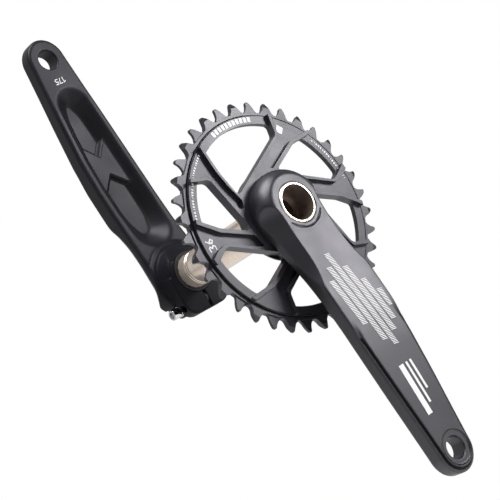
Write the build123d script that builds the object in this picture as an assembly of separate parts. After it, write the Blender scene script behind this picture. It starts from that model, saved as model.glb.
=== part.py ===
from build123d import *
from math import sin, cos, tan, radians, hypot, acos
import os

# Bicycle crankset: two crank arms, a hollow spindle pressed into the drive-side
# arm, and a narrow-wide direct-mount chainring.
#
# Frame, in mm: the origin is on the spindle axis at the middle of the bottom bracket.
# +X is forward on the bicycle, +Y is the rider's left, +Z is up.
# The spindle lies along Y and the drive side is at -Y.
# The drive-side arm points straight down and the left arm straight up.
# "Outer" is away from the origin along Y, "inner" is towards it.
# Cutting tools run a little past the faces they open.

os.makedirs("parts", exist_ok=True)

# ---------------------------------------------------------------- shared sizes
CRANK = 175.0            # spindle axis to pedal axis
PEDAL_R = 7.14           # 9/16 inch pedal thread
PEDAL_END_R = 16.2       # round end of each arm
CLR = 0.05               # running clearance on radius
PRESS_CLR = 0.02         # clearance on radius of pressed and screwed parts

# spindle
SP_R = 12.0              # bearing seats (24 mm spindle)
SP_WAIST_R = 11.75       # between the two bearing seats
SP_NECK_R = SP_R - 0.4   # groove before the drive-side seat
SP_GROOVE_R = SP_R - 0.35  # two grooves after the left seat
SP_PRESS_R = 12.06       # press length inside the drive-side arm
SP_SPLINE_R = 11.95      # splined end
SP_HEAD_R = 13.4         # enlarged drive-side end that shows in the arm's face
SP_HEAD_BORE = 11.8
SP_HEAD_CHAMFER = 0.6
SP_END_CHAMFER = 1.2
SP_BORE = 9.5
Y_HEAD = -71.55          # outer end of the head
Y_HEAD_IN = -57.0        # where the head steps down to the press length
Y_BORE_STEP = Y_HEAD + 17.0  # where the head's bore meets the main bore
Y_SEAT = -43.0           # start of the drive-side bearing seat
Y_SPLINE = 50.5          # start of the left spline
Y_SP_END = 71.0          # left end of the spindle
SPLINES = 16
SPLINE_ROOT_R = SP_R - 0.9

# chainring
TEETH = 36
TOOTH_STEP = 360.0 / TEETH
TOOTH_0 = 60.66          # angle of tooth 0, seen from the drive side
ROOT_R = 69.0
FLANK_R = 70.0           # radius at which distances along a tooth are measured
T_WIDE = 3.8             # wide tooth thickness
T_NARROW = 2.1           # narrow tooth thickness
Y_PLATE = -50.7          # outer face of the tooth plate
Y_PLATE_IN = Y_PLATE + T_WIDE
RELIEF_R = 73.2          # where the tips start to thin
RELIEF_END_R = 78.0
RELIEF_DEPTH = 1.55      # thinning of each face at RELIEF_END_R
STEP_R = 66.6            # turned step between the web and the tooth plate
BAND_R = 60.5            # outer arc of the openings
BAND_FILLET = 2.8        # corners of the openings at that arc
Y_WEB = -52.2            # outer face of the web and the pocket floors
Y_WEB_IN = -48.7         # inner face of the web
Y_RIB = -55.2            # top of the spoke ribs and the hub seat
Y_HUB_IN = -46.7         # inner face of the hub disc
HUB_DISC_R = 29.3

# joint between chainring and drive-side arm
BOSS_R = 17.5            # boss of the arm
BOSS_END = -45.2         # inner end of the boss
RING_BORE = BOSS_R + CLR
LUG_R = 19.3
LUGS = 8
LUG_W = 4.6
BOLT_CIRCLE_R = 23.5     # circle of the three chainring bolts
BOLT_R = 2.0
BOLT_HOLE_R = BOLT_R + 0.15  # through the chainring
BOLT_SEAT_R = 3.9
BOLT_HEAD_R = 3.6
BOLT_HEAD_L = 2.0
Y_BOLT_SEAT = Y_HUB_IN - 2.2
Y_BOLT_TIP = Y_RIB - 7.0
BOLT_CENTRES = [(BOLT_CIRCLE_R * cos(radians(a)), BOLT_CIRCLE_R * sin(radians(a)))
                for a in (90, 210, 330)]

# drive-side arm
HUB_BASE_R = 25.4
HUB_FACE_R = 17.6
Y_SHOULDER = -61.5       # where the rounded hub shoulder starts
Y_FACE = -71.3           # outer face at the spindle axis
PEDAL_SPOT_R = 10.8      # spot face round the pedal hole
Y_PEDAL_SPOT = -83.9

# left arm
Y_LHUB = 51.5            # inner face of the left hub
BOSS_L_R = 18.6          # boss at that face
BOSS_L_BASE_R = 22.6     # boss where it meets the bar
Y_BOSS_L_BASE = 61.2
HUB_L_R = 25.6           # outer outline of the hub
BORE_L = SP_R + CLR
SLOT_W = 1.8             # clamp slot
SEAL_R = 14.2            # seat of the dust seal
SEAL_DEPTH = 1.6
CAP_RECESS_R = 13.4
Y_RECESS = 71.6          # floor of the cap recess

# clamp parts of the left arm
STOP_T = 1.4             # safety plate in the slot
PINCH_R = 2.5            # M5 pinch bolts
PINCH_SEAT = 17.0        # distance of the washer seats from the slot plane
PINCH_SPOT_HALF = 4.6    # bolt axis to the edge of its spot face
PINCH_WASHER_R = 3.8
PINCH_WASHER_T = 1.0
PINCH_HEAD_R = 3.5
PINCH_HEAD_L = 6.3
PINCH_TIP = 12.0         # distance of the tips from the slot plane
PINCH_HEX_R = 2.31       # socket, across corners / 2
PINCH_HEX_DEPTH = 3.0
PINCH_Z = -19.4
PINCH_Y_OUT = 64.0       # bolt with its head to the rear
PINCH_Y_IN = 55.6        # bolt with its head to the front

# preload cap
CAP_R = 12.6
Y_CAP = 72.4             # underside of the flange
Y_CAP_TOP = 74.8
CAP_LOBES = 8


# ---------------------------------------------------------------- helpers
def polygon(points):
    return Wire.make_polygon([Vector(*p) for p in points], close=True)


def prism(outline, y0, y1):
    """Prism along Y from closed (x, z) points."""
    face = Face(polygon([(x, y0, z) for x, z in outline]))
    return Solid.extrude(face, Vector(0, y1 - y0, 0))


def prism_x(outline, x0, x1):
    """Prism along X from closed (y, z) points."""
    face = Face(polygon([(x0, y, z) for y, z in outline]))
    return Solid.extrude(face, Vector(x1 - x0, 0, 0))


def rounded_wire(outline, y):
    """Closed wire from (x, z, corner radius) points; tight corners get a smaller radius."""
    corners = [Vector(x, y, z) for x, z, _ in outline]
    arcs = []                # start, middle and end of each corner
    for i, corner in enumerate(corners):
        radius = outline[i][2]
        if radius <= 0:
            arcs.append((corner, None, corner))
            continue
        before = corners[i - 1] - corner
        after = corners[(i + 1) % len(corners)] - corner
        to_before, to_after = before.normalized(), after.normalized()
        half_angle = acos(to_before.dot(to_after)) / 2
        setback = min(radius / tan(half_angle), 0.48 * before.length, 0.48 * after.length)
        radius = setback * tan(half_angle)
        bisector = (to_before + to_after).normalized()
        arcs.append((corner + to_before * setback,
                     corner + bisector * (radius / sin(half_angle) - radius),
                     corner + to_after * setback))
    edges = []
    for i, (start, middle, end) in enumerate(arcs):
        if middle is not None:
            edges.append(Edge.make_three_point_arc(start, middle, end))
        edges.append(Edge.make_line(end, arcs[(i + 1) % len(arcs)][0]))
    return Wire(edges)


def rounded_prism(outline, y0, y1):
    """Prism along Y from (x, z, corner radius) points."""
    return Solid.extrude(Face(rounded_wire(outline, y0)), Vector(0, y1 - y0, 0))


def cylinder(radius, y0, y1, x=0.0, z=0.0):
    """Cylinder along Y, y0 below y1."""
    return Solid.make_cylinder(radius, y1 - y0, Plane(origin=(x, y0, z), z_dir=(0, 1, 0)))


def cylinder_x(radius, x0, x1, y, z):
    """Cylinder along X between two planes, in either order."""
    low, high = min(x0, x1), max(x0, x1)
    return Solid.make_cylinder(radius, high - low, Plane(origin=(low, y, z), z_dir=(1, 0, 0)))


def turned(profile):
    """Solid of revolution about Y from (radius, y) points."""
    face = Face(polygon([(r, y, 0) for r, y in profile]))
    return Solid.revolve(face, 360, Axis((0, 0, 0), (0, 1, 0)))


def loft_z(sections):
    """Ruled body through closed sections, each (z, [(x, y), ...])."""
    wires = [polygon([(x, y, z) for x, y in points]) for z, points in sections]
    return Solid.make_loft(wires, True)


def largest(shape):
    """The largest solid of a boolean result."""
    if isinstance(shape, (list, tuple)):
        found = [solid for part in shape for solid in part.solids()]
    else:
        found = shape.solids()
    return max(found, key=lambda solid: solid.volume)


def turn(shape, angle):
    """Turn about the spindle, counter-clockwise in degrees seen from the drive side."""
    return shape.rotate(Axis((0, 0, 0), (0, 1, 0)), -angle)


def around(shape, count, start=0.0):
    """Copies spaced evenly round the spindle."""
    return [turn(shape, 360.0 / count * k + start) for k in range(count)]


def wedge(r0, half0, r1, half1, y0, y1):
    """Radial block on +X with a half width at each of its two radii."""
    return prism([(r0, -half0), (r1, -half1), (r1, half1), (r0, half0)], y0, y1)


def lugs(gap, r_in, y0, y1):
    """The lugs between arm and chainring, enlarged by a gap."""
    half = LUG_W / 2 + gap
    return around(wedge(r_in, half, LUG_R + gap, half, y0, y1), LUGS, 22.5)


def interpolate(table, at):
    """Linear value from a sorted (position, value) table, held constant past its ends."""
    if at <= table[0][0]:
        return table[0][1]
    for (a, value_a), (b, value_b) in zip(table, table[1:]):
        if at <= b:
            return value_a + (value_b - value_a) * (at - a) / (b - a)
    return table[-1][1]


# ---------------------------------------------------------------- chainring
# Outlines are (x, z, corner radius). Each one is also used turned by half a turn.
# Openings through the web, cut off at the band's arc.
OPENINGS = [
    [(-31.4, 70.0, 0), (-30.2, 50.5, 0), (-28.9, 38.2, 9), (-24.8, 20.9, 3.0),
     (27.5, 45.5, 3.5), (29.2, 53.5, 0), (30.4, 70.0, 0)],
    [(-66.0, 22.0, 0), (-58.9, 15.3, 0), (-50.2, 8.3, 9), (-31.6, -0.6, 1.6),
     (-29.3, 2.4, 1.6), (-38.7, 37.4, 4.5), (-52.0, 40.9, 0)],
    [(57.0, 37.0, 0), (36.6, 35.4, 7), (11.9, 24.3, 2.6), (52.6, 3.2, 5.5), (68.0, 11.4, 0)],
]
# The openings carried past the band, where only the rib layer is cleared.
RIB_GAPS = [
    [(-31.2, 70.0, 0), (-30.2, 50.5, 0), (-28.9, 38.2, 9), (-24.8, 20.9, 3.0),
     (27.5, 45.5, 3.5), (30.4, 60.0, 0), (32.5, 70.0, 0)],
    [(-76.0, 33.0, 0), (-64.0, 20.0, 0), (-58.9, 15.3, 0), (-50.2, 8.3, 9),
     (-31.6, -0.6, 1.6), (-29.3, 2.4, 1.6), (-38.7, 37.4, 4.5), (-72.0, 46.0, 0)],
    [(74.0, 38.5, 0), (36.6, 35.4, 7), (11.9, 24.3, 2.6), (52.6, 3.2, 5.5), (76.0, 15.6, 0)],
]
# Pockets between the two ribs of each spoke, open at the step.
SPOKE_POCKETS = [
    [(-33.4, 72.0, 0), (-32.4, 57.4, 0), (-31.2, 41.0, 9), (-28.3, 28.5, 6),
     (-24.2, 17.8, 2.0), (-26.3, 12.2, 2.0), (-29.3, 13.6, 2.0), (-33.7, 26.5, 0),
     (-38.0, 39.4, 3.2), (-60.0, 45.4, 0)],
    [(56.0, 39.6, 0), (35.4, 37.8, 7), (11.0, 26.9, 1.5), (5.2, 27.6, 1.5),
     (3.0, 31.3, 2.2), (28.9, 43.6, 3.4), (32.0, 57.0, 0), (35.2, 72.0, 0), (72.0, 41.0, 0)],
    [(-78.0, 30.0, 0), (-63.4, 16.0, 0), (-51.5, 6.0, 8), (-29.6, -4.5, 2.0),
     (-25.0, -10.8, 2.0), (-26.6, -13.6, 2.0), (-30.0, -12.6, 2.0), (-52.8, -1.4, 4.5),
     (-60.0, -2.9, 0), (-80.0, -14.0, 0)],
]

# Tooth flanks from root to tip and tip to root: (distance along FLANK_R, radius).
HALF_TOOTH = radians(TOOTH_STEP / 2) * FLANK_R
RISING_FLANK = [(-HALF_TOOTH, ROOT_R), (-4.7, 69.45), (-3.45, 70.8), (-2.45, 72.7),
                (-1.25, 74.6), (0.2, 76.35)]
FALLING_FLANK = [(1.45, 76.5), (1.95, 75.6), (2.1, 74.2), (2.55, 72.4), (3.45, 70.7),
                 (4.7, 69.45), (HALF_TOOTH, ROOT_R)]


def tooth_outline():
    def place(flank, centre):
        angles = [(centre + s / FLANK_R, r) for s, r in flank]
        return [Vector(r * cos(a), Y_PLATE, r * sin(a)) for a, r in angles]

    def tangent(angle):
        return Vector(-sin(angle), 0, cos(angle))

    edges = []
    half_step = radians(TOOTH_STEP / 2)
    for i in range(TEETH):
        centre = radians(TOOTH_0 + TOOTH_STEP * i)
        rise = place(RISING_FLANK, centre)
        fall = place(FALLING_FLANK, centre)
        edges += [
            Edge.make_spline(rise, tangents=[tangent(centre - half_step),
                                             (rise[-1] - rise[-2]).normalized()]),
            Edge.make_line(rise[-1], fall[0]),
            Edge.make_spline(fall, tangents=[(fall[1] - fall[0]).normalized(),
                                             tangent(centre + half_step)]),
        ]
    return Wire(edges)


def make_tooth_plate():
    plate = Solid.extrude(Face(tooth_outline()), Vector(0, T_WIDE, 0))
    plate = plate.cut(cylinder(BAND_R + 2.0, Y_PLATE - 1, Y_PLATE_IN + 1))
    # both faces of every tooth are relieved towards the tip
    plate = plate.cut(turned([(RELIEF_R, Y_PLATE - 0.01), (RELIEF_END_R, Y_PLATE - 0.01),
                              (RELIEF_END_R, Y_PLATE + RELIEF_DEPTH)]))
    plate = plate.cut(turned([(RELIEF_R, Y_PLATE_IN + 0.01),
                              (RELIEF_END_R, Y_PLATE_IN - RELIEF_DEPTH),
                              (RELIEF_END_R, Y_PLATE_IN + 0.01)]))
    # every second tooth is narrow
    side = (T_WIDE - T_NARROW) / 2
    tools = []
    for i in range(1, TEETH, 2):
        for y0, y1 in ((Y_PLATE - 0.5, Y_PLATE + side), (Y_PLATE_IN - side, Y_PLATE_IN + 0.5)):
            tools.append(turn(wedge(68.75, 6.4, 79, 7.2, y0, y1), TOOTH_0 + TOOTH_STEP * i))
    return plate.cut(*tools)


def opposite_prisms(outlines, y0, y1):
    """A rounded prism of each outline and of the same outline after half a turn."""
    prisms = []
    for outline in outlines:
        for points in (outline, [(-x, -z, r) for x, z, r in outline]):
            prisms.append(rounded_prism(points, y0, y1))
    return prisms


def opening_tools():
    y0, y1 = Y_RIB - 1, Y_WEB_IN + 1
    tools = []
    for tool in opposite_prisms(OPENINGS, y0, y1):
        tool = largest(tool.intersect(cylinder(BAND_R, y0 - 1, y1 + 1)))
        # the edges along Y that lie on the band's arc
        rim_edges = [e for e in tool.edges() if abs(e.length - (y1 - y0)) < 1e-3
                     and hypot(e.center().X, e.center().Z) > BAND_R - 0.6]
        tools.append(tool.fillet(BAND_FILLET, rim_edges))
    return tools


def make_ribs():
    ribs = cylinder(STEP_R, Y_RIB, Y_WEB)
    ribs = ribs.cut(*opposite_prisms(RIB_GAPS, Y_RIB - 1, Y_WEB))
    # the cut may leave several solids, which come back as a list
    if isinstance(ribs, list):
        ribs = Compound(ribs)
    return ribs.cut(*opposite_prisms(SPOKE_POCKETS, Y_RIB - 1, Y_WEB))


def make_chainring():
    openings = opening_tools()
    web = cylinder(STEP_R, Y_WEB, Y_WEB_IN).cut(*openings)
    hub = cylinder(HUB_DISC_R, Y_RIB, Y_HUB_IN)
    body = make_tooth_plate().fuse(web, make_ribs(), hub)
    body = body.cut(*openings)
    # bore with slots for the arm's lugs
    y0, y1 = Y_RIB - 1, Y_HUB_IN + 1
    body = body.cut(cylinder(RING_BORE, y0, y1))
    body = body.cut(*lugs(CLR, RING_BORE - 2, y0, y1))
    # bolt holes with flat seats on the inner face
    for x, z in BOLT_CENTRES:
        body = body.cut(cylinder(BOLT_HOLE_R, y0, y1, x, z))
        body = body.cut(cylinder(BOLT_SEAT_R, Y_BOLT_SEAT, y1, x, z))
    return largest(body)


def make_chainring_bolts():
    """Three bolts with six-lobed sockets, heads on the inner side."""
    bolts = []
    y0, y1 = Y_BOLT_SEAT + 0.7, Y_BOLT_SEAT + 3
    for x, z in BOLT_CENTRES:
        bolt = cylinder(BOLT_R, Y_BOLT_TIP, Y_BOLT_SEAT + 0.1, x, z).fuse(
            cylinder(BOLT_HEAD_R, Y_BOLT_SEAT, Y_BOLT_SEAT + BOLT_HEAD_L, x, z))
        bolt = bolt.cut(cylinder(1.5, y0, y1, x, z))
        for k in range(6):
            a = radians(60 * k)
            bolt = bolt.cut(cylinder(0.5, y0, y1, x + 1.55 * cos(a), z + 1.55 * sin(a)))
        bolts.append(largest(bolt))
    return Compound(children=bolts)


# ---------------------------------------------------------------- crank arm bars
# Tables of (distance from the spindle axis towards the pedal, value).
# Y of the outer and inner faces
R_OUT = [(0, -71.3), (20, -72.6), (40, -75.0), (60, -78.0), (80, -80.3), (100, -81.8),
         (130, -83.2), (175, -84.7), (192, -85.1)]
R_IN = [(0, -55.2), (20, -57.5), (40, -62.8), (60, -66.6), (80, -69.4), (100, -70.8),
        (130, -71.4), (175, -72.3), (192, -72.3)]
L_OUT = [(-30, 74.3), (0, 75.9), (20, 77.4), (30, 78.5), (40, 80.0), (60, 82.4),
         (80, 84.3), (100, 85.2), (192, 85.6)]
L_IN = [(-30, 60.5), (0, 60.8), (20, 62.6), (40, 66.7), (60, 69.3), (80, 71.3),
        (100, 72.7), (150, 73.6), (175, 73.9), (192, 73.9)]
# full half width; the two arms differ near the hub only
W_TAIL = [(80, 21.3), (100, 20.75), (130, 18.5), (150, 16.75), (175, 14.9), (192, 14.0)]
R_WIDTH = [(0, 22.6), (20, 22.0), (40, 21.4)] + W_TAIL
L_WIDTH = [(-30, 21.6), (20, 21.6)] + W_TAIL
# half width of the outer face, and depth in Y of the bevel beside it
W_FACE = [(-30, 16.0), (0, 17.0), (20, 16.5), (35, 15.9), (45, 17.6), (55, 19.8), (80, 19.7),
          (100, 18.9), (130, 16.8), (150, 15.2), (175, 13.4), (192, 12.6)]
BEVEL = [(0, 7.2), (20, 7.4), (35, 7.0), (45, 5.0), (55, 2.0), (80, 1.6), (100, 2.6), (192, 3.0)]

STATIONS = (0, 12, 24, 35, 45, 55, 68, 84, 100, 115, 130, 150, 175, 192)

# Channel of the arm pocket: (z, half width at the inner face, depth).
POCKET = [(27, 5.0, 0.5), (30, 10.5, 2.0), (35, 13.6, 3.8), (42, 15.2, 4.9), (60, 16.0, 4.9),
          (80, 16.0, 4.9), (100, 15.3, 4.9), (120, 14.0, 4.9), (139, 12.4, 4.9),
          (145, 10.4, 3.9), (149, 7.2, 2.2), (151.3, 3.5, 0.5)]


def make_bar(side, stations, outer, inner, width, edge_x, edge_y):
    """Arm bar; side is -1 for the drive side (down, -Y) and +1 for the left (up, +Y).

    edge_x and edge_y are the chamfer legs along the inner face's edges.
    """
    sections = []
    for d in stations:
        y_out, y_in = interpolate(outer, d), interpolate(inner, d)
        full, face = interpolate(width, d), interpolate(W_FACE, d)
        y_bevel = y_out - side * interpolate(BEVEL, d)
        y_edge = y_in + side * edge_y
        sections.append((side * float(d), [
            (-face, y_out), (face, y_out), (full, y_bevel), (full, y_edge),
            (full - edge_x, y_in), (-full + edge_x, y_in), (-full, y_edge), (-full, y_bevel)]))
    return loft_z(sections)


def sunk_panel(rim, floor, y_ref, z_ref, slope, depth):
    """Tapered recess along a sloping plane; rim and floor are (x, z) outlines of the +X half."""
    wires = []
    for half, sink in ((rim, 4.5), (floor, depth)):
        outline = half + [(-x, z) for x, z in reversed(half) if x > 0]
        wires.append(polygon([(x, y_ref + slope * (z - z_ref) + sink, z) for x, z in outline]))
    return Solid.make_loft(wires, True)


def pocket_tool():
    """Pocket in the left arm's inner face: sloping walls, two sunk panels, a web between."""
    sections = []
    for z, half, depth in POCKET:
        y_in = interpolate(L_IN, z)
        sections.append((float(z), [(-half - 3, y_in - 3), (half + 3, y_in - 3),
                                    (half - depth, y_in + depth), (-half + depth, y_in + depth)]))
    channel = loft_z(sections)
    upper = sunk_panel([(0, 98.0), (10.6, 109.6), (10.3, 137.0), (6.6, 144.5)],
                       [(0, 102.6), (6.8, 110.0), (6.6, 134.0), (4.4, 139.5)],
                       y_ref=72.7, z_ref=100, slope=0.018, depth=8.6)
    lower = sunk_panel([(6.6, 34.6), (11.6, 41.0), (12.4, 74.0), (0, 88.2)],
                       [(5.8, 40.4), (8.3, 44.0), (8.6, 74.9), (0, 83.6)],
                       y_ref=67.1, z_ref=41, slope=0.105, depth=8.4)
    return largest(channel.fuse(upper, lower))


# ---------------------------------------------------------------- drive-side arm
def make_right_hub():
    """Boss, broad base, rounded shoulder and flat outer face."""
    profile = [(0, BOSS_END), (BOSS_R, BOSS_END), (BOSS_R, Y_RIB), (HUB_BASE_R, Y_RIB),
               (HUB_BASE_R, Y_SHOULDER)]
    for k in range(1, 7):
        a = radians(15 * k)
        profile.append((HUB_FACE_R + (HUB_BASE_R - HUB_FACE_R) * cos(a),
                        Y_SHOULDER + (Y_FACE - Y_SHOULDER) * sin(a)))
    return turned(profile + [(0, Y_FACE)])


def make_right_arm():
    bar = make_bar(-1, STATIONS, R_OUT, R_IN, R_WIDTH, edge_x=2.0, edge_y=1.5)
    # round pedal end
    end = cylinder(PEDAL_END_R, -90, -60, 0, -CRANK)
    keep = prism([(-40, 5), (40, 5), (40, -CRANK), (-40, -CRANK)], -95, -50)
    bar = largest(bar.intersect(largest(keep.fuse(end))))
    arm = bar.fuse(make_right_hub())
    arm = largest(arm.fuse(*lugs(0, BOSS_R - 2, Y_RIB - 0.5, Y_HUB_IN - 0.6)))
    # stepped bore for the spindle
    arm = arm.cut(cylinder(SP_HEAD_R + PRESS_CLR, Y_FACE - 8, Y_HEAD_IN))
    arm = arm.cut(cylinder(SP_PRESS_R + PRESS_CLR, Y_HEAD_IN - 0.1, BOSS_END + 1))
    # fine arc-shaped line in the outer face, round the lower half of the spindle head
    line = turned([(15.9, Y_FACE - 4), (16.5, Y_FACE - 4),
                   (16.5, Y_FACE + 0.25), (15.9, Y_FACE + 0.25)])
    below = prism([(-20, 2), (20, 2), (20, -20), (-20, -20)], Y_FACE - 5, Y_FACE + 1)
    arm = arm.cut(largest(line.intersect(below)))
    # pedal hole with spot face
    arm = arm.cut(cylinder(PEDAL_R, -95, -60, 0, -CRANK))
    arm = arm.cut(cylinder(PEDAL_SPOT_R, -95, Y_PEDAL_SPOT, 0, -CRANK))
    # the left arm's pocket, turned over, moved to this inner face and stopped at z = -50
    tool = pocket_tool().rotate(Axis.X, 180).moved(Location((0, 2.0, 0)))
    reach = prism([(-30, -50), (30, -50), (30, -170), (-30, -170)], -95, -50)
    arm = arm.cut(largest(tool.intersect(reach)))
    for x, z in BOLT_CENTRES:
        arm = arm.cut(cylinder(BOLT_R + PRESS_CLR, Y_BOLT_TIP - 1, Y_RIB + 1, x, z))
    return largest(arm)


# ---------------------------------------------------------------- spindle
def make_spindle():
    body = turned([
        # head and press length
        (0, Y_HEAD), (SP_HEAD_R - SP_HEAD_CHAMFER, Y_HEAD),
        (SP_HEAD_R, Y_HEAD + SP_HEAD_CHAMFER), (SP_HEAD_R, Y_HEAD_IN),
        (SP_PRESS_R, Y_HEAD_IN), (SP_PRESS_R, Y_SEAT - 0.7),
        # drive-side seat, waist, left seat
        (SP_NECK_R, Y_SEAT - 0.6), (SP_NECK_R, Y_SEAT - 0.05), (SP_R, Y_SEAT), (SP_R, -28.0),
        (SP_WAIST_R, -26.5), (SP_WAIST_R, 24.5), (SP_R, 26.0), (SP_R, 39.6),
        # two grooves
        (SP_GROOVE_R, 39.9), (SP_GROOVE_R, 40.5), (SP_R, 40.8), (SP_R, 41.8),
        (SP_GROOVE_R, 42.1), (SP_GROOVE_R, 42.7),
        # splined end
        (SP_SPLINE_R, 43.0), (SP_SPLINE_R, Y_SP_END - SP_END_CHAMFER),
        (SP_SPLINE_R - SP_END_CHAMFER, Y_SP_END), (0, Y_SP_END)])
    body = body.cut(cylinder(SP_BORE, Y_BORE_STEP, Y_SP_END + 1))
    body = body.cut(cylinder(SP_HEAD_BORE, Y_HEAD - 1, Y_BORE_STEP + 0.6))
    groove = wedge(SPLINE_ROOT_R, 0.75, SP_R + 1, 1.05, Y_SPLINE, Y_SP_END + 1)
    return largest(body.cut(*around(groove, SPLINES)))


# ---------------------------------------------------------------- left arm
def make_left_arm():
    bar = make_bar(1, (-30, -15) + STATIONS, L_OUT, L_IN, L_WIDTH, edge_x=1.2, edge_y=1.2)
    # round hub and pedal ends
    keep = prism([(-40, -2), (40, -2), (40, CRANK), (-40, CRANK)], 50, 95)
    keep = keep.fuse(cylinder(PEDAL_END_R, 50, 95, 0, CRANK), cylinder(HUB_L_R, 50, 95))
    bar = largest(bar.intersect(largest(keep)))
    # inner hub boss: round above, straight-sided clamp below
    base = rounded_prism([(-20.6, 6.0, 0), (-19.9, -27.2, 10.0), (19.9, -27.2, 10.0),
                          (20.6, 6.0, 0)], Y_LHUB, 61.5)
    below = prism([(-30, 0), (30, 0), (30, -40), (-30, -40)], 50, 62)
    boss = Solid.make_cone(BOSS_L_R, BOSS_L_BASE_R, Y_BOSS_L_BASE - Y_LHUB,
                           Plane(origin=(0, Y_LHUB, 0), z_dir=(0, 1, 0)))
    arm = largest(bar.fuse(largest(base.intersect(below)), boss))
    # block under the rear-headed bolt, on both sides of the slot
    block = rounded_prism([(-17.0, -12.0, 0), (-17.0, -24.4, 4.0), (17.0, -24.4, 4.0),
                           (17.0, -12.0, 0)], 58.8, 69.0)
    arm = largest(arm.fuse(block))
    # bore, cap recess and seat of the dust seal
    arm = arm.cut(cylinder(BORE_L, 45, 95))
    arm = arm.cut(cylinder(CAP_RECESS_R, Y_RECESS, 95))
    arm = arm.cut(cylinder(SEAL_R, Y_LHUB - 1, Y_LHUB + SEAL_DEPTH))
    # internal spline teeth
    tooth = wedge(SPLINE_ROOT_R + 0.07, 0.66, SP_R + 0.6, 0.93, Y_LHUB + SEAL_DEPTH, 70.8)
    arm = largest(arm.fuse(*around(tooth, SPLINES)))
    # clamp slot
    slot = Solid.make_box(SLOT_W, 45, 35).moved(Location((-SLOT_W / 2, 40, -45)))
    arm = largest(arm.cut(slot))
    # pinch bolt holes and their spot faces
    arm = arm.cut(cylinder_x(PINCH_R + CLR, -40, 13.5, PINCH_Y_OUT, PINCH_Z))
    arm = arm.cut(cylinder_x(PINCH_R + CLR, -23.5, 40, PINCH_Y_IN, PINCH_Z))
    for side, y0, y1 in ((-1, PINCH_Y_OUT - PINCH_SPOT_HALF, 80),
                         (1, 50, PINCH_Y_IN + PINCH_SPOT_HALF)):
        far, seat = side * 40, side * PINCH_SEAT
        arm = arm.cut(rounded_prism([(far, -14.9, 0), (seat, -14.9, 0.5),
                                     (seat, -40, 0), (far, -40, 0)], y0, y1))
    arm = largest(arm)
    arm = arm.cut(cylinder(PEDAL_R, 60, 95, 0, CRANK))
    return largest(arm.cut(pocket_tool()))


# ---------------------------------------------------------------- small parts
def make_pinch_bolt(side, y):
    """M5 socket bolt; side -1 has its head to the rear (-X), +1 to the front."""
    x_seat = side * (PINCH_SEAT + PINCH_WASHER_T)
    x_top = x_seat + side * PINCH_HEAD_L
    shank = cylinder_x(PINCH_R, x_seat, -side * PINCH_TIP, y, PINCH_Z)
    head = cylinder_x(PINCH_HEAD_R, x_seat, x_top, y, PINCH_Z)
    rim = [e for e in head.edges() if abs(e.center().X - x_top) < 0.01]
    bolt = head.chamfer(0.35, 0.35, rim).fuse(shank)
    corners = [radians(60 * k + 30) for k in range(6)]
    hexagon = [(y + PINCH_HEX_R * cos(a), PINCH_Z + PINCH_HEX_R * sin(a)) for a in corners]
    return largest(bolt.cut(prism_x(hexagon, x_top + side * 0.5,
                                    x_top - side * PINCH_HEX_DEPTH)))


def make_pinch_washer(side, y):
    washer = cylinder_x(PINCH_WASHER_R, side * PINCH_SEAT,
                        side * (PINCH_SEAT + PINCH_WASHER_T), y, PINCH_Z)
    return largest(washer.cut(cylinder_x(PINCH_R + CLR, side * 10, side * 25, y, PINCH_Z)))


def make_preload_cap():
    flange = turned([(0, Y_CAP), (CAP_R, Y_CAP), (CAP_R, Y_CAP_TOP - 0.9),
                     (CAP_R - 0.9, Y_CAP_TOP), (0, Y_CAP_TOP)])
    cap = flange.fuse(cylinder(SP_BORE - CLR, 60.0, Y_CAP + 0.2))
    cap = cap.cut(cylinder(6.9, 59, 71.0))
    # socket for the lobed preload tool
    cap = cap.cut(cylinder(6.0, 70.6, 76))
    for k in range(CAP_LOBES):
        a = radians(360 / CAP_LOBES * k)
        cap = cap.cut(cylinder(1.3, 70.6, 76, 6.2 * cos(a), 6.2 * sin(a)))
    return largest(cap)


def make_ring(r_in, r_out, y0, y1, chamfer=0.2):
    """Plain ring, chamfered on its outer edges."""
    return turned([(r_in, y0), (r_out - chamfer, y0), (r_out, y0 + chamfer),
                   (r_out, y1 - chamfer), (r_out - chamfer, y1), (r_in, y1)])


def make_stopper_plate():
    """Safety plate in the clamp slot: round hole on one bolt, curved slot on the other."""
    half, y_in, y_out, z = STOP_T / 2, PINCH_Y_IN, PINCH_Y_OUT, PINCH_Z
    body = cylinder_x(3.9, -half, half, y_in, z)
    body = body.fuse(prism_x([
        (y_in, z + 3.9), (y_out + 1.5, z + 3.6), (y_out + 4.0, z + 1.5), (y_out + 4.0, z - 3.4),
        (y_out + 1.5, z - 5.2), (y_out - 1.5, z - 5.2), (y_in, z - 3.9)], -half, half))
    cuts = [cylinder_x(PINCH_R + CLR, -5, 5, y_in, z)]
    # the curved slot is a row of holes, one per degree of swing
    spacing = y_out - y_in
    for degree in range(17):
        a = radians(-degree)
        cuts.append(cylinder_x(PINCH_R + 0.1, -5, 5, y_in + spacing * cos(a),
                               z + spacing * sin(a)))
    return largest(largest(body).cut(*cuts))


def save(shape, name):
    shape.label = name
    export_step(shape, "parts/" + name + ".step")


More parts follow.
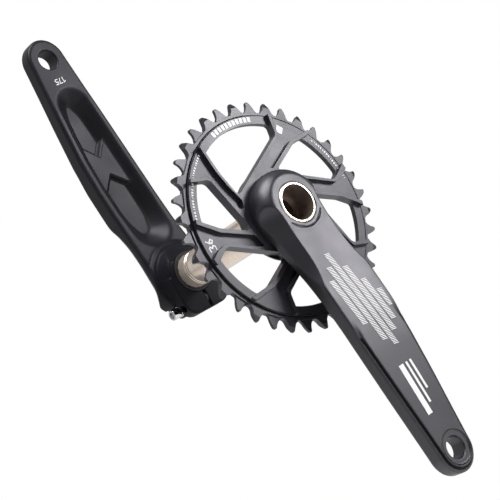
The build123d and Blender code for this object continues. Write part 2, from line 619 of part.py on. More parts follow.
if __name__ == "__main__":
    save(make_chainring(), "chainring")
    save(make_right_arm(), "right_crank_arm")
    save(make_spindle(), "spindle")
    save(make_left_arm(), "left_crank_arm")
    for end, side, y in (("rear", -1, PINCH_Y_OUT), ("front", 1, PINCH_Y_IN)):
        save(make_pinch_bolt(side, y), "pinch_bolt_" + end)
        save(make_pinch_washer(side, y), "pinch_washer_" + end)
    save(make_preload_cap(), "preload_cap")
    save(make_ring(9.7, 12.9, Y_RECESS + 0.02, Y_CAP - 0.02, 0.1), "preload_cap_seal")
    save(make_chainring_bolts(), "chainring_bolts")
    save(make_ring(SP_PRESS_R + CLR, 16.2, BOSS_END, BOSS_END + SEAL_DEPTH), "right_dust_seal")
    save(make_ring(SP_R + CLR, SEAL_R - 0.01, Y_LHUB - 0.6, Y_LHUB + SEAL_DEPTH),
         "left_dust_seal")
    save(make_stopper_plate(), "stopper_plate")
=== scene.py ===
"""Bicycle crankset: two forged arms, with finishes and prints for the CAD pieces.

The spindle lies along Y through the origin. The drive-side arm is at -Y and hangs down (-Z);
the left arm is at +Y and points up (+Z). Sizes are in millimetres unless a comment says
otherwise; MM turns them into metres.
"""
import math

import bpy
import numpy as np
from mathutils import Matrix, Vector


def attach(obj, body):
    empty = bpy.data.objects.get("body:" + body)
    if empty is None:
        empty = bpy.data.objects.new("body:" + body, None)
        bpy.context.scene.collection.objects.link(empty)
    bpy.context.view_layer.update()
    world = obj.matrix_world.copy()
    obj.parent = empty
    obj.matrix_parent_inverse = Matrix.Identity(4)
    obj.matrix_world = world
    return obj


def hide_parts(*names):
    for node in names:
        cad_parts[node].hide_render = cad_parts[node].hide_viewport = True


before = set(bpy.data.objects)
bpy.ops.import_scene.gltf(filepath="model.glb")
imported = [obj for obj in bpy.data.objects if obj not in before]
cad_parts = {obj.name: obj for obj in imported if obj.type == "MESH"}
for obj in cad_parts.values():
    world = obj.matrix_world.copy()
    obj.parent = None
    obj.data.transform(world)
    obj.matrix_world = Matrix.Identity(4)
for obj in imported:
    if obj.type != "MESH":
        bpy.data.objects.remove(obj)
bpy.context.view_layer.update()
scene = bpy.context.scene
MM = 0.001


def add_object(name, data):
    made = bpy.data.objects.new(name, data)
    scene.collection.objects.link(made)
    return made


# ------------------------------------------------------------------ camera
AZIMUTH, ELEVATION, ROLL = (math.radians(a) for a in (-40.575, -2.296, -29.941))
EYE = np.array([-663.99, -785.43, -49.85]) * MM

# picture axes: BACK points from the subject to the camera
BACK = np.array([math.sin(AZIMUTH) * math.cos(ELEVATION),
                 -math.cos(AZIMUTH) * math.cos(ELEVATION),
                 math.sin(ELEVATION)])
level_right = np.cross([0, 0, 1.0], BACK)
level_right /= np.linalg.norm(level_right)
level_up = np.cross(BACK, level_right)
RIGHT = level_right * math.cos(ROLL) + level_up * math.sin(ROLL)
UP = -level_right * math.sin(ROLL) + level_up * math.cos(ROLL)


def build_camera():
    data = bpy.data.cameras.new("camera")
    data.sensor_width = 36.0
    data.lens = 115.36
    data.clip_start = 0.05
    data.clip_end = 50
    camera = add_object("camera", data)
    pose = Matrix.Identity(4)
    for i in range(3):
        pose[i] = (RIGHT[i], UP[i], BACK[i], EYE[i])
    camera.matrix_world = pose
    scene.camera = camera
    scene.view_settings.view_transform = "Standard"
    scene.view_settings.look = "None"
    scene.view_settings.exposure = 0
    scene.view_settings.gamma = 1


build_camera()


# ------------------------------------------------------------------ distance field tools
# A field is negative inside the solid.
def smin(a, b, blend):
    """Union with a rounded join."""
    h = np.clip(0.5 + 0.5 * (b - a) / blend, 0, 1)
    return b * (1 - h) + a * h - blend * h * (1 - h)


def smax(a, b, blend):
    """Intersection with a rounded edge."""
    return -smin(-a, -b, blend)


def step(x, start, end):
    """Smooth rise from 0 to 1."""
    t = np.clip((x - start) / (end - start), 0, 1)
    return t * t * (3 - 2 * t)


def table(points, smooth=3.0):
    """Gaussian-smoothed look-up of (place along arm, size), extended straight at both ends."""
    spacing = 0.5
    xs = np.arange(-60.0, 220.0, spacing)
    px, py = zip(*points)
    ys = np.interp(xs, px, py)
    slope_0 = (py[1] - py[0]) / (px[1] - px[0])
    slope_1 = (py[-1] - py[-2]) / (px[-1] - px[-2])
    ys = np.where(xs < px[0], py[0] + (xs - px[0]) * slope_0, ys)
    ys = np.where(xs > px[-1], py[-1] + (xs - px[-1]) * slope_1, ys)
    reach = int(smooth * 6)
    kernel = np.exp(-0.5 * (np.arange(-reach, reach + 1) * spacing / smooth) ** 2)
    kernel /= kernel.sum()
    before = ys[0] + np.arange(-reach, 0) * (ys[1] - ys[0])
    after = ys[-1] + np.arange(1, reach + 1) * (ys[-1] - ys[-2])
    ys = np.convolve(np.concatenate([before, ys, after]), kernel, "valid")
    return lambda q: np.interp(q, xs, ys)


def surface_nets(field, low, cell):
    """Closed quad mesh of the zero set of a sampled field."""
    inside = field < 0
    corners = [(i, j, k) for i in (0, 1) for j in (0, 1) for k in (0, 1)]
    count = np.zeros(tuple(size - 1 for size in field.shape), np.int8)
    for i, j, k in corners:
        count += inside[i:i + count.shape[0], j:j + count.shape[1], k:k + count.shape[2]]
    crossed = (count > 0) & (count < 8)
    cells = np.argwhere(crossed)
    index = np.full(count.shape, -1, np.int32)
    index[crossed] = np.arange(len(cells))

    # one vertex per crossed cell, at the mean of its edge crossings
    values = np.stack([field[cells[:, 0] + i, cells[:, 1] + j, cells[:, 2] + k]
                       for i, j, k in corners], 1)
    total = np.zeros((len(cells), 3))
    hits = np.zeros(len(cells))
    for a in range(8):
        for b in range(a + 1, 8):
            start, end = np.array(corners[a]), np.array(corners[b])
            if abs(start - end).sum() != 1:
                continue
            va, vb = values[:, a], values[:, b]
            cut = (va < 0) != (vb < 0)
            t = np.where(cut, va / np.where(cut, va - vb, 1), 0)
            total += np.where(cut[:, None], start + (end - start) * t[:, None], 0)
            hits += cut
    vertices = (cells + total / hits[:, None]) * cell + np.array(low)

    # one quad round every grid edge that crosses the surface
    quads = []
    for axis in range(3):
        first, second = [slice(1, -1)] * 3, [slice(1, -1)] * 3
        first[axis], second[axis] = slice(0, -1), slice(1, None)
        near, far = inside[tuple(first)], inside[tuple(second)]
        edges = np.argwhere(near != far)
        leaving = near[tuple(edges.T)]
        side_1, side_2 = [q for q in range(3) if q != axis]
        ring = []
        for shift_1, shift_2 in ((0, 0), (1, 0), (1, 1), (0, 1)):
            place = edges.copy()
            place[:, side_1] += shift_1
            place[:, side_2] += shift_2
            ring.append(index[tuple(place.T)])
        ring = np.stack(ring, 1)
        keep = leaving if axis != 1 else ~leaving
        quads.append(np.where(keep[:, None], ring, ring[:, ::-1]))
    return vertices, np.concatenate(quads)


def net_object(name, field, low, high, cell):
    axes = [a + cell * np.arange(int(math.ceil((b - a) / cell)) + 1, dtype=np.float32)
            for a, b in zip(low, high)]
    samples = np.broadcast_to(field(*np.ix_(*axes)), [len(a) for a in axes])
    vertices, quads = surface_nets(samples.astype(np.float32), low, cell)
    mesh = bpy.data.meshes.new(name)
    mesh.vertices.add(len(vertices))
    mesh.vertices.foreach_set("co", (vertices * MM).astype(np.float32).ravel())
    mesh.loops.add(len(quads) * 4)
    mesh.loops.foreach_set("vertex_index", quads.astype(np.int32).ravel())
    mesh.polygons.add(len(quads))
    mesh.polygons.foreach_set("loop_start", np.arange(0, len(quads) * 4, 4, dtype=np.int32))
    mesh.polygons.foreach_set("use_smooth", np.ones(len(quads), bool))
    mesh.update(calc_edges=True)
    mesh.validate()
    return add_object(name, mesh)


# ------------------------------------------------------------------ arm sizes
# In the arm fields d runs along the arm from the spindle axis, u is the distance outwards
# along the spindle and x is across. Tables hold (d, size); faces are given as u.
RIGHT_OUTER = table([
    (0, 71.3), (12, 71.9), (20, 72.5), (40, 75.5), (60, 78.0), (80, 80.3), (100, 81.8),
    (130, 83.2), (175, 84.7), (192, 85.1)])
RIGHT_INNER = table([
    (-30, 55.2), (12, 55.4), (25, 57.6), (45, 63.6), (60, 66.9), (80, 69.4), (100, 70.8),
    (130, 71.4), (150, 71.7), (175, 72.25), (192, 72.4)])
LEFT_OUTER = table([
    (-30, 74.3), (0, 75.9), (20, 77.4), (30, 78.5), (40, 80.0), (60, 82.3), (80, 84.2),
    (100, 85.1), (130, 85.3), (175, 85.3), (192, 85.2)])
LEFT_INNER = table([
    (-30, 61.0), (0, 61.0), (25, 64.0), (40, 66.7), (60, 69.3), (80, 71.3), (100, 72.7),
    (150, 73.6), (175, 73.9), (192, 73.9)])
HALF_WIDTH = table([
    (-30, 22.2), (20, 22.0), (40, 21.4), (80, 21.3), (100, 20.75), (130, 18.5),
    (150, 16.75), (175, 14.75), (192, 14.0)])
# half width of the outer face between its side facets
FACET_START = table([
    (-40, 34), (-8, 20.0), (0, 16.9), (20, 16.3), (35, 16.5), (45, 18.0), (50, 20.0),
    (58, 22.5), (70, 30.0), (100, 40.0)], smooth=2.5)
POCKET_HALF_WIDTH = [
    (26, 14.6), (39, 15.1), (45, 15.4), (60, 16.0), (80, 16.0), (100, 15.25), (120, 14.0),
    (139.2, 12.3), (151, 12.3)]
POCKET_START, POCKET_START_RADIUS = 26.5, 15.15
POCKET_END, POCKET_END_RADIUS = 151.5, 12.3

PEDAL = 175.0                           # pedal axis along the arm
PEDAL_HOLE_RADIUS = 7.14
END_HALF_WIDTH, END_LENGTH = 14.75, 15.8  # rounded end beyond the pedal axis
LEDGE_START, LEDGE_FULL = 76, 98        # where the edge ledge grows to full size
LEDGE_INSET, LEDGE_DROP = 2.7, 1.7
CELL = 0.45


# ------------------------------------------------------------------ shared arm shapes
def bar(x, d, u, outer, inner):
    """Forged bar with a round pedal end and a ledge along its outer edges."""
    past = np.maximum(d - PEDAL, 0) * (END_HALF_WIDTH / END_LENGTH)
    tail = np.sqrt(x ** 2 + past ** 2) - END_HALF_WIDTH
    side = np.where(d > PEDAL, tail, np.abs(x) - HALF_WIDTH(d))
    grown = step(d, LEDGE_START, LEDGE_FULL)
    rounding = 1.8 - 1.0 * grown + 3.0 * step(d, 44, 60) * (1 - step(d, 84, 98))
    ledge = smax(side, u - (outer - LEDGE_DROP * grown), blend=1.9)
    top = smax(side + LEDGE_INSET * grown, u - outer, rounding)
    body = smax(smin(ledge, top, blend=0.4), inner - u, blend=2.6)
    return smax(body, -d - 2.0, blend=3.0)


def pocket(x, d, u, inner, depth):
    """Inner-face pocket: sloping walls, two sunk panels and a raised web between them."""
    web_depth = 4.9
    panel_slope = 1.9
    flatten = 0.72                      # scales the field for an even blend
    across = np.abs(x)
    inset = np.interp(d, *zip(*POCKET_HALF_WIDTH)) - across
    centre = POCKET_END - POCKET_END_RADIUS
    inset = np.where(d > centre, POCKET_END_RADIUS - np.sqrt(x ** 2 + (d - centre) ** 2), inset)
    centre = POCKET_START + POCKET_START_RADIUS
    inset = np.where(d < centre, POCKET_START_RADIUS - np.sqrt(x ** 2 + (d - centre) ** 2), inset)

    def panel(beyond_web):
        sunk = smin(depth + beyond_web * panel_slope, depth, blend=1.3)
        return smax(sunk, web_depth, blend=1.3)

    outward = panel((d - (102.6 + 1.1 * across)) / 1.49)
    hubward = panel(((83.6 - across) - d) / 1.41)
    wall_slope = 1.15 - 0.35 * step(d, 128, 145) - 0.45 * (1 - step(d, 32, 56))
    sink = smin(inset * wall_slope, np.maximum(outward, hubward), blend=1.6)
    return (u - inner - sink) * flatten


def trim_outer(body, x, d, u, outer, face_blend, facet_blend):
    """Cut the outer face and the facets at its sides."""
    body = smax(body, u - outer, face_blend)
    facet = (np.abs(x) - FACET_START(d)) * 0.825 + (u - outer) * 0.565
    return smax(body, facet, facet_blend)


def from_pedal(x, d):
    return np.sqrt(x ** 2 + (d - PEDAL) ** 2)


def drill_pedal(body, x, d):
    return smax(body, -(from_pedal(x, d) - PEDAL_HOLE_RADIUS), blend=0.9)


# ------------------------------------------------------------------ drive-side arm
COLLAR_RADIUS = 16.4


def right_arm(x, y, z):
    d, u = -z, -y
    outer, inner = RIGHT_OUTER(d), RIGHT_INNER(d)
    hub_back = 55.2
    r = np.sqrt(x ** 2 + d ** 2)

    # hub dome: a flat core with an elliptical shoulder
    core_radius, shoulder_base = 12.0, 60.0
    shoulder_width, shoulder_height = 13.4, 12.44
    run = np.maximum(r - core_radius, 0) / shoulder_width
    rise = np.maximum(u - shoulder_base, 0) / shoulder_height
    dome = (np.sqrt(run ** 2 + rise ** 2) - 1) * 12.6
    dome = smax(dome, 55.25 - u, blend=0.6)

    body = smin(bar(x, d, u, outer, inner), dome, blend=3.0)
    body = trim_outer(body, x, d, u, outer, face_blend=0.7, facet_blend=0.5)
    body = smax(body, hub_back - u, blend=0.4)
    hollow = smax(pocket(x, d, u, inner, depth=8.2), 50.0 - d, blend=6.0)
    body = smax(body, -hollow, blend=1.3)

    # boss through the chainring
    boss_radius, boss_top, boss_foot = 17.45, 60, 45.2
    boss = np.maximum(r - boss_radius, np.maximum(u - boss_top, boss_foot - u))
    body = smin(body, boss, blend=0.3)

    # partial groove round the spindle end, on the arm side only
    half_width, depth, groove_start = 0.35, 0.5, 9.5
    groove = np.maximum(np.abs(r - COLLAR_RADIUS) - half_width, np.abs(u - outer) - depth)
    body = np.maximum(body, -np.maximum(groove, groove_start - d))

    # stepped bore
    wide_radius, wide_floor, bore_radius = 13.42, 56.9, 12.02
    body = np.maximum(body, -np.maximum(r - wide_radius, wide_floor - u))
    body = np.maximum(body, -(r - bore_radius))

    # spot face round the pedal hole
    spot_radius, face_at_pedal, spot_depth = 10.8, 84.7, 0.8
    spot = np.maximum(from_pedal(x, d) - spot_radius, (face_at_pedal - spot_depth) - u)
    body = smax(body, -spot, blend=0.5)
    return drill_pedal(body, x, d)


# ------------------------------------------------------------------ left arm
def rounded_foot(across, d, half_width, foot, radius):
    """Block with rounded corners at its low-d end, open towards the arm."""
    qx = across - (half_width - radius)
    qd = (foot + radius) - d
    outside = np.sqrt(np.maximum(qx, 0) ** 2 + np.maximum(qd, 0) ** 2)
    return outside + np.minimum(np.maximum(qx, qd), 0) - radius


def left_arm(x, y, z):
    d, u = z, y
    outer = LEFT_OUTER(d) + 1.0 * step(d, LEDGE_START, LEDGE_FULL)
    inner = LEFT_INNER(d)
    r = np.sqrt(x ** 2 + d ** 2)
    across = np.abs(x)

    # round end of the arm on the outer side of the clamp body
    end_radius, end_back = 25.0, 60.6
    end = smax(r - end_radius, u - outer, blend=3.0)
    end = smax(end, end_back - u, blend=2.0)
    body = smin(bar(x, d, u, outer, inner), end, blend=3.0)
    body = trim_outer(body, x, d, u, outer, face_blend=0.8, facet_blend=0.8)

    # clamp body: a block below the bore joined to a cone round it
    clamp_back, clamp_top = 51.5, 61.5
    block = rounded_foot(across, d, half_width=19.9, foot=-27.2, radius=10.0)
    block = np.maximum(block, d - 2.0)
    cone_radius = 18.7 + np.clip(u - 52.0, 0, 9.5) * 0.44
    clamp = smin(block, (r - cone_radius) * 0.95, blend=2.0)
    clamp = smax(clamp, u - clamp_top, blend=1.0)

    # lugs at the foot of the clamp, both sides of the slot
    lug_end, lug_low, lug_high = -12.0, 58.8, 69.0
    lug = rounded_foot(across, d, half_width=17.0, foot=-24.4, radius=4.0)
    lug = np.maximum(np.maximum(lug, d - lug_end), np.maximum(lug_low - u, u - lug_high))
    body = smin(smin(body, clamp, blend=1.2), lug, blend=0.5)
    body = smax(body, clamp_back - u, blend=1.4)

    body = smax(body, -pocket(x, d, u, inner, depth=8.6), blend=1.3)

    # bore, cap recess and seal seat
    bore_radius = 12.05
    recess_radius, recess_floor = 13.4, 71.6
    seal_radius, seal_floor = 14.2, 53.1
    body = smax(body, bore_radius - r, blend=0.3)
    body = np.maximum(body, -np.maximum(r - recess_radius, recess_floor - u))
    body = np.maximum(body, -np.maximum(r - seal_radius, u - seal_floor))

    # clamp slot
    slot_half_width = 0.9
    body = smax(body, -np.maximum(across - slot_half_width, d), blend=0.5)

    # pinch bolt seats: one on the -X side, one on the +X side
    seat_x, seat_end = 17.0, 14.9
    for beside, over in ((x + seat_x, 59.4 - u), (seat_x - x, u - 60.2)):
        seat = np.maximum(np.maximum(beside, d + seat_end), over)
        body = smax(body, -seat, blend=0.5)
    # pinch bolt holes: (u of the axis, field of the closed end)
    hole_radius, bolt_drop = 2.55, 19.4
    for bolt_u, closed_end in ((64.0, x - 13.5), (55.6, -x - 23.5)):
        hole = np.sqrt((u - bolt_u) ** 2 + (d + bolt_drop) ** 2) - hole_radius
        body = smax(body, -np.maximum(hole, closed_end), blend=0.3)
    return drill_pedal(body, x, d)


right_forging = net_object("right_arm_forging", right_arm,
                           (-27.5, -87.0, -193.0), (27.5, -43.5, 27.5), CELL)
left_forging = net_object("left_arm_forging", left_arm,
                          (-27.5, 50.0, -30.0), (27.5, 87.5, 193.0), CELL)
for forging, body_name, piece in ((right_forging, "drive_side", "right_crank_arm"),
                                  (left_forging, "left_side", "left_crank_arm")):
    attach(forging, body_name)
    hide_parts(piece)


# ------------------------------------------------------------------ shader tools
# Lengths in materials are in metres.
def feed(target, inputs):
    """Link sockets, or set plain values, on the inputs of a node."""
    for key, value in inputs.items():
        if isinstance(value, bpy.types.NodeSocket):
            target.id_data.links.new(value, target.inputs[key])
        else:
            target.inputs[key].default_value = value


def node(tree, kind, inputs, **properties):
    made = tree.nodes.new("ShaderNode" + kind)
    for key, value in properties.items():
        setattr(made, key, value)
    feed(made, inputs)
    return made


def math_node(tree, operation, *values):
    return node(tree, "Math", dict(enumerate(values)), operation=operation).outputs[0]


def mix_colour(tree, factor, first, second, **properties):
    # sockets 6 and 7 are the two colours, output 2 the mixed one
    inputs = {0: factor, 6: first, 7: second}
    return node(tree, "Mix", inputs, data_type="RGBA", **properties).outputs[2]


def ramp(tree, factor, *stops):
    """Two-stop ramp; a stop is (position, grey or RGB)."""
    made = node(tree, "ValToRGB", {0: factor})
    for element, (position, colour) in zip(made.color_ramp.elements, stops):
        rgb = (colour,) * 3 if isinstance(colour, float) else colour
        element.position = position
        element.color = (*rgb, 1)
    return made.outputs[0]


def new_material(name):
    material = bpy.data.materials.new(name)
    material.use_nodes = True
    tree = material.node_tree
    tree.nodes.clear()
    output = tree.nodes.new("ShaderNodeOutputMaterial")
    shader = tree.nodes.new("ShaderNodeBsdfPrincipled")
    feed(output, {0: shader.outputs[0]})
    return material, tree, shader


def metal(name, base, rough, grain, bump, metallic=0.0, mottle=0.12, edge=0.0,
          stretch=None, specular=0.5):
    """Finished surface: colour mottling, fine grain, softened edges.

    grain is the noise scale, stretch its scaling per axis, edge the wear on sharp edges.
    """
    material, tree, shader = new_material(name)
    place = node(tree, "TexCoord", {}).outputs["Object"]
    mottling = node(tree, "TexNoise", {"Vector": place, "Scale": 38.0, "Detail": 4}).outputs[0]
    if stretch:
        place = node(tree, "Mapping", {"Vector": place, "Scale": stretch}).outputs[0]
    fine = node(tree, "TexNoise", {"Vector": place, "Scale": grain, "Detail": 2}).outputs[0]
    colour = ramp(tree, mottling, (0.3, [c * (1 - mottle) for c in base]),
                  (0.7, [c * (1 + mottle) for c in base]))
    specks = ramp(tree, fine, (0.35, 0.86), (0.65, 1.0))
    colour = mix_colour(tree, 1.0, colour, specks, blend_type="MULTIPLY")
    bevel = node(tree, "Bevel", {"Radius": 0.00025}, samples=6).outputs[0]
    if edge > 0:
        normal = node(tree, "NewGeometry", {}).outputs["Normal"]
        flat = node(tree, "VectorMath", {0: bevel, 1: normal}, operation="DOT_PRODUCT")
        worn = ramp(tree, flat.outputs["Value"], (0.80, 1.0), (0.97, 0.0))
        worn = math_node(tree, "MULTIPLY", worn, edge)
        colour = mix_colour(tree, worn, colour, (0.30, 0.29, 0.28, 1))
    relief = node(tree, "Bump", {"Strength": bump, "Distance": 0.00004, "Height": fine,
                                 "Normal": bevel})
    feed(shader, {
        "Base Color": colour,
        "Metallic": metallic,
        "Roughness": ramp(tree, mottling, (0.25, rough - 0.05), (0.75, rough + 0.05)),
        "Specular IOR Level": specular,
        "Normal": relief.outputs[0]})
    if metallic == 0.0:
        shader.inputs["Specular Tint"].default_value = (0.95, 0.93, 1.0, 1)
    return material


def left_arm_shaded_copy():
    """Shaded copy of the arm's black anodise: darker and less reflective, standing in for the
    weaker light on the left arm; it reflects less again round the clamp, as painted shade for the
    chainring's shadow.
    """
    specular = 0.32
    material = metal("blasted_black_anodise_shaded_copy", (0.0090, 0.0087, 0.0118), rough=0.43,
                     grain=2600, bump=0.35, mottle=0.10, specular=specular)
    tree = material.node_tree
    place = tree.nodes["Texture Coordinate"].outputs["Object"]
    # painted shade: reflection fades out near the clamp, standing for the chainring's shadow
    distance = node(tree, "VectorMath", {0: place, 1: (0.0, 0.050, -0.004)},
                    operation="DISTANCE")
    clamp_shade_fade = node(tree, "MapRange", {"Value": distance.outputs["Value"], "From Min": 0.026,
                                   "From Max": 0.040, "To Min": 0.10, "To Max": specular})
    feed(tree.nodes["Principled BSDF"], {"Specular IOR Level": clamp_shade_fade.outputs[0]})
    return material


def spindle_plate_with_painted_shade():
    """Champagne plate, with painted shade in the bore at the drive-side end and two painted shade
    lines where fine grooves ring the spindle.
    """
    bore_radius, bore_end = 0.01186, -0.046
    groove_shade_places, groove_shade_half_width, groove_shade_strength = (0.0402, 0.0424), 0.00036, 0.75
    material = metal("spindle_champagne_plate", (0.92, 0.79, 0.67), rough=0.25, metallic=0.68,
                     grain=60, bump=0.03, mottle=0.03, stretch=(1, 25, 1))
    tree = material.node_tree
    shader = tree.nodes["Principled BSDF"]
    colour = shader.inputs["Base Color"].links[0].from_socket
    place = node(tree, "TexCoord", {}).outputs["Object"]
    flat = node(tree, "VectorMath", {0: place, 1: (1, 0, 1)}, operation="MULTIPLY")
    radius = node(tree, "VectorMath", {0: flat.outputs[0]}, operation="LENGTH")
    # painted shade: the inside of the bore at the drive-side end darkened, standing for the shade
    # in that recess
    in_bore = math_node(tree, "LESS_THAN", radius.outputs["Value"], bore_radius)
    along = node(tree, "SeparateXYZ", {0: place}).outputs["Y"]
    at_end = math_node(tree, "LESS_THAN", along, bore_end)
    dark = math_node(tree, "MULTIPLY", in_bore, at_end)
    colour = mix_colour(tree, dark, colour, (0.34, 0.275, 0.235, 1))
    # painted shade: two dark rings standing for the shade in fine grooves round the spindle
    lines = [math_node(tree, "COMPARE", along, y, groove_shade_half_width) for y in groove_shade_places]
    lines = math_node(tree, "MULTIPLY", math_node(tree, "ADD", *lines), groove_shade_strength)
    feed(shader, {"Base Color": mix_colour(tree, lines, colour, (0.16, 0.12, 0.09, 1))})
    return material


def ink_finish():
    material, tree, shader = new_material("white_print")
    place = node(tree, "TexCoord", {}).outputs["Object"]
    noise = node(tree, "TexNoise", {"Vector": place, "Scale": 900}).outputs[0]
    colour = ramp(tree, noise, (0.3, (0.78, 0.78, 0.79)), (0.7, (0.88, 0.88, 0.89)))
    feed(shader, {"Base Color": colour, "Roughness": 0.45})
    return material


# ------------------------------------------------------------------ materials
ARM = metal("blasted_black_anodise", (0.0100, 0.0097, 0.0130), rough=0.40, grain=2600,
            bump=0.35, mottle=0.10, specular=0.9)
# the left arm takes a shaded copy of the arm anodise, with painted shade round the clamp
ARM_LEFT = left_arm_shaded_copy()
RING = metal("ring_anodise", (0.0125, 0.0120, 0.0165), rough=0.38, grain=1800, bump=0.20,
             mottle=0.08, edge=0.05, specular=0.78)
LINE = metal("groove_shadow", (0.003, 0.003, 0.004), rough=0.6, grain=1500, bump=0.1,
             specular=0.15)
SPINDLE = spindle_plate_with_painted_shade()
CHROME = metal("bright_plate", (0.72, 0.72, 0.73), rough=0.14, metallic=1.0, grain=900,
               bump=0.04, mottle=0.03)
STEEL = metal("dark_zinc", (0.10, 0.10, 0.11), rough=0.34, metallic=1.0, grain=1500, bump=0.08)
RUBBER = metal("seal_rubber", (0.016, 0.016, 0.017), rough=0.7, grain=1500, bump=0.2)
PLASTIC = metal("moulded_black", (0.02, 0.02, 0.021), rough=0.52, grain=1400, bump=0.2)
INK = ink_finish()

for forging, material in ((right_forging, ARM), (left_forging, ARM_LEFT)):
    forging.data.materials.clear()
    forging.data.materials.append(material)

CAD_FINISHES = {
    "right_crank_arm": ARM, "left_crank_arm": ARM_LEFT, "spindle": SPINDLE,
    "chainring": RING, "chainring_bolts": STEEL,
    "right_dust_seal": RUBBER, "left_dust_seal": RUBBER,
    "pinch_bolt_rear": CHROME, "pinch_bolt_front": CHROME,
    "pinch_washer_rear": CHROME, "pinch_washer_front": CHROME,
    "stopper_plate": PLASTIC, "preload_cap": PLASTIC, "preload_cap_seal": RUBBER}
for name, material in CAD_FINISHES.items():
    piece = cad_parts[name]
    for material_slot in piece.material_slots:
        material_slot.material = material
    if not piece.material_slots:
        piece.data.materials.append(material)


# ------------------------------------------------------------------ print tools
def sheet(name, points, faces, body, material):
    mesh = bpy.data.meshes.new(name)
    mesh.from_pydata([tuple(c * MM for c in point) for point in points], [], faces)
    mesh.update()
    made = add_object(name, mesh)
    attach(made, body)
    mesh.materials.append(material)


def print_on(name, polygons, place, body="drive_side", lift=0.07,
             material=INK):
    """Flat pieces: each polygon is a list of (a, b) points laid on a face by place()."""
    points, faces = [], []
    for i, polygon in enumerate(polygons):
        first = len(points)
        # pieces that cross one another sit a hair apart
        points += [place(a, b, lift + 0.012 * (i % 14)) for a, b in polygon]
        faces.append(tuple(range(first, len(points))))
    sheet(name, points, faces, body, material)


def on_right_face(x, z, lift):
    return x, -(float(RIGHT_OUTER(-z)) + lift), z


def on_left_inner(x, z, lift):
    return x, float(LEFT_INNER(z)) - lift, z


def on_ring(x, z, lift):
    return x, -52.2 - lift, z


def on_ring_step(x, z, lift):
    return x, -50.7 - lift, z


def arc_quad(start, end, inner, outer, centre_z=0.0):
    corners = ((start, inner), (end, inner), (end, outer), (start, outer))
    return [(r * math.cos(t), centre_z + r * math.sin(t)) for t, r in corners]


def arc_line(radius, width, segments, start=0.0, end=2 * math.pi, centre_z=0.0):
    turns = [start + (end - start) * k / segments for k in range(segments + 1)]
    return [arc_quad(t0, t1, radius, radius + width, centre_z)
            for t0, t1 in zip(turns[:-1], turns[1:])]


# stroke paths of the digits, in units of the digit height
DIGITS = {
    "1": [(0.15, 0.78), (0.5, 1.0), (0.5, 0.0)],
    "7": [(0.0, 1.0), (0.62, 1.0), (0.25, 0.0)],
    "5": [(0.6, 1.0), (0.08, 1.0), (0.04, 0.56), (0.42, 0.60), (0.62, 0.32), (0.42, 0.02),
          (0.0, 0.08)],
    "3": [(0.02, 0.95), (0.40, 1.0), (0.58, 0.78), (0.28, 0.54), (0.60, 0.30), (0.42, 0.02),
          (0.0, 0.05)],
    "6": [(0.52, 1.0), (0.14, 0.62), (0.04, 0.26), (0.32, 0.0), (0.58, 0.26), (0.34, 0.54),
          (0.10, 0.42)]}


def number(text, left, foot, height, width):
    """Quads of the given stroke width along the digits, with square joins."""
    quads = []
    for i, digit in enumerate(text):
        path = [(left + height * (a + 0.86 * i), foot + height * b) for a, b in DIGITS[digit]]
        for (x0, y0), (x1, y1) in zip(path[:-1], path[1:]):
            length = math.hypot(x1 - x0, y1 - y0)
            tx = (x1 - x0) / length * width / 2
            ty = (y1 - y0) / length * width / 2
            quads.append([(x0 - tx + ty, y0 - ty - tx), (x1 + tx + ty, y1 + ty - tx),
                          (x1 + tx - ty, y1 + ty + tx), (x0 - tx - ty, y0 - ty + tx)])
    return quads


# ------------------------------------------------------------------ printed marks
def hatch_bars():
    """Leaning bars of short strokes on the drive-side arm."""
    # x of the bar, d of its first and last stroke
    bars = [(-12.0, 52, 84), (-6.6, 44, 98), (-1.2, 36, 104),
            (4.2, 48, 96), (9.6, 60, 90), (15.0, 70, 82)]
    # printable half width: d, half width
    limits = [(30, 14.2), (45, 15.6), (55, 17.4), (80, 17.2), (100, 15.4), (130, 13.0)]
    half_width, pitch, least_width = 2.1, 1.05, 0.6
    strokes = []
    for centre, d, last in bars:
        while d < last:
            lean = (d - 70) * 0.10
            limit = float(np.interp(d, *zip(*limits)))
            x0 = max(centre + lean - half_width, -limit)
            x1 = min(centre + lean + half_width, limit)
            if x1 - x0 > least_width:
                strokes.append([(x0, -d + 0.35), (x1, -d - 0.35),
                                (x1, -d - 0.85), (x0, -d - 0.15)])
            d += pitch
    return strokes


def ring_marks():
    """Arc marks on the chainring: one bold row, then two rows of fine ones."""
    # first angle, count, pitch, length and every fourth length (degrees), radii
    rows = [(74, 11, 2.9, 2.1, 2.1, 62.0, 65.4),
            (1, 18, 1.7, 1.0, 0.5, 63.0, 64.3),
            (122, 24, 1.7, 1.0, 0.5, 63.0, 64.3)]
    marks = []
    for first, count, pitch, length, fourth, inner, outer in rows:
        for k in range(count):
            start = math.radians(first + k * pitch)
            end = start + math.radians(length if k % 4 else fourth)
            marks.append(arc_quad(start, end, inner, outer))
    return marks


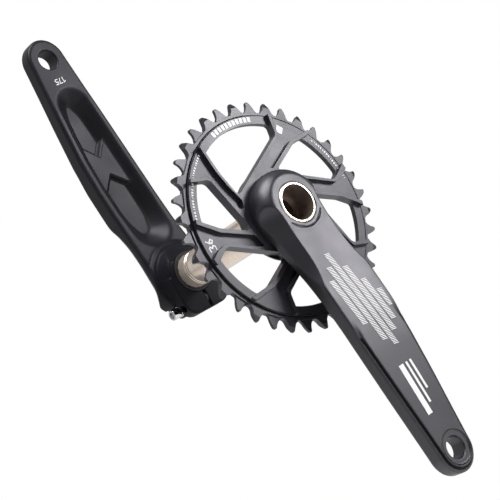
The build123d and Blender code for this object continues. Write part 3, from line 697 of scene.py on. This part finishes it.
def ledge_shadow():
    """Dark foot of the ledge, down both edges and round the pedal end."""
    first, last = 90, 174
    end_steps = 32
    points = []

    def add_row(d, place):
        grown = step(d, LEDGE_START, LEDGE_FULL)
        for inset, drop in ((LEDGE_INSET * grown - 0.25, 0.10 * grown),
                            (LEDGE_INSET * grown - 1.15, 1.52 * grown)):
            x, along = place(inset)
            points.append((x, -(float(RIGHT_OUTER(along)) - drop + 0.10), -along))

    for d in range(first, last, 2):
        add_row(d, lambda inset: (-(float(HALF_WIDTH(d)) - inset), d))
    for k in range(1, end_steps):
        turn = math.pi * k / end_steps
        add_row(PEDAL, lambda inset: (
            -math.cos(turn) * (END_HALF_WIDTH - inset),
            PEDAL + math.sin(turn) * (END_HALF_WIDTH - inset) * END_LENGTH / END_HALF_WIDTH))
    for d in range(last, first - 1, -2):
        add_row(d, lambda inset: (float(HALF_WIDTH(d)) - inset, d))
    faces = [(k, k + 1, k + 3, k + 2) for k in range(0, len(points) - 2, 2)]
    sheet("ledge_shadow", points, faces, "drive_side", LINE)


print_on("hatch_print", hatch_bars(), on_right_face)

# plain stripes: x of both edges, z of the lower end
STRIPE_TOP = -116
stripes = [[(x0, STRIPE_TOP), (x1, STRIPE_TOP), (x1, low), (x0, low)]
           for x0, x1, low in ((-6.4, -2.2, -150), (-0.2, 1.6, -144), (3.6, 5.4, -136))]
print_on("stripe_print", stripes, on_right_face)
print_on("ring_marks", ring_marks(), on_ring)

# the tooth count is turned a quarter, the arm length half a turn
tooth_count = [[(-60.6 - b, 3.4 + a) for a, b in quad]
               for quad in number("36", left=-4.8, foot=-2.4, height=4.9, width=0.9)]
print_on("tooth_number", tooth_count, on_ring)
diamond = [(35.0, 51.2), (38.4, 47.6), (35.0, 44.0), (31.6, 47.6)]
print_on("flare_mark", [diamond], on_ring)
arm_length = [[(-a, 316.0 - b) for a, b in quad]
              for quad in number("175", left=-4.4, foot=155.9, height=3.7, width=0.55)]
print_on("size_number", arm_length, on_left_inner, body="left_side")

ledge_shadow()

# painted shade: dark strips along turned edges, standing for the shadow at steps and grooves: on
# the chainring, the spindle end and the pedal hole
for name, line, place, slot, lift in (
        ("ring_step_painted_shade", arc_line(66.62, 0.55, 180), on_ring_step, "ring_grey", 0.06),
        ("ring_edge_painted_shade", arc_line(66.0, 0.45, 180), on_ring, "ring_grey", 0.06),
        ("collar_groove_painted_shade", arc_line(16.3, 0.35, 96, start=-2.55, end=-0.60),
         on_right_face, "arm_black", 0.08),
        ("pedal_spot_painted_shade", arc_line(10.85, 0.35, 96, centre_z=-PEDAL),
         on_right_face, "arm_black", 0.08)):
    print_on(name, line, place, lift=lift, material=LINE)


# ------------------------------------------------------------------ floor, world, lights
# Lengths here are in metres.
def build_floor():
    """Pale floor that the camera sees as pure white."""
    half, z = 8, -0.34
    mesh = bpy.data.meshes.new("floor")
    mesh.from_pydata([(-half, -half, z), (half, -half, z), (half, half, z), (-half, half, z)],
                     [], [(0, 1, 2, 3)])
    add_object("floor", mesh)
    material, tree, shader = new_material("pale_floor")
    feed(shader, {"Base Color": (0.9, 0.9, 0.9, 1), "Roughness": 0.9})
    seen = node(tree, "LightPath", {}).outputs["Is Camera Ray"]
    white = node(tree, "Emission", {0: (1, 1, 1, 1), 1: 1.0})
    mix = node(tree, "MixShader", {0: seen, 1: shader.outputs[0], 2: white.outputs[0]})
    feed(tree.nodes["Material Output"], {0: mix.outputs[0]})
    mesh.materials.append(material)


def build_world():
    """White to the camera; otherwise a glow that brightens towards +Y."""
    world = bpy.data.worlds.new("studio")
    scene.world = world
    world.use_nodes = True
    tree = world.node_tree
    tree.nodes.clear()
    output = tree.nodes.new("ShaderNodeOutputWorld")
    white = node(tree, "Background", {0: (1, 1, 1, 1), 1: 1.0})
    place = node(tree, "TexCoord", {}).outputs["Generated"]
    towards = node(tree, "VectorMath", {0: place, 1: (-0.15, 0.97, 0.18)},
                   operation="DOT_PRODUCT")
    strength = node(tree, "MapRange", {"Value": towards.outputs["Value"], "From Min": -0.35,
                                       "From Max": 0.75, "To Min": 0.07, "To Max": 0.60})
    glow = node(tree, "Background", {0: (0.97, 0.98, 1.0, 1), 1: strength.outputs[0]})
    seen = node(tree, "LightPath", {}).outputs["Is Camera Ray"]
    mix = node(tree, "MixShader", {0: seen, 1: glow.outputs[0], 2: white.outputs[0]})
    feed(output, {0: mix.outputs[0]})


def area_light(name, direction, side, power, target=(0, 0, 0), distance=1.5):
    """Square light that faces the target from the given direction."""
    direction = np.array(direction, float)
    direction /= np.linalg.norm(direction)
    light = bpy.data.lights.new(name, "AREA")
    light.shape = "RECTANGLE"
    light.size = light.size_y = side
    light.energy = power
    turn = Vector(direction).to_track_quat("Z", "Y").to_matrix().to_4x4()
    place = Matrix.Translation(Vector(np.array(target) + direction * distance))
    add_object(name, light).matrix_world = place @ turn


build_floor()
build_world()
area_light("key", -0.35 * RIGHT + 0.90 * UP + 0.25 * BACK, side=1.0, power=27)
area_light("face", [0.66, -0.74, 0.20], side=0.45, power=11.2, target=(-0.01, -0.06, -0.01))
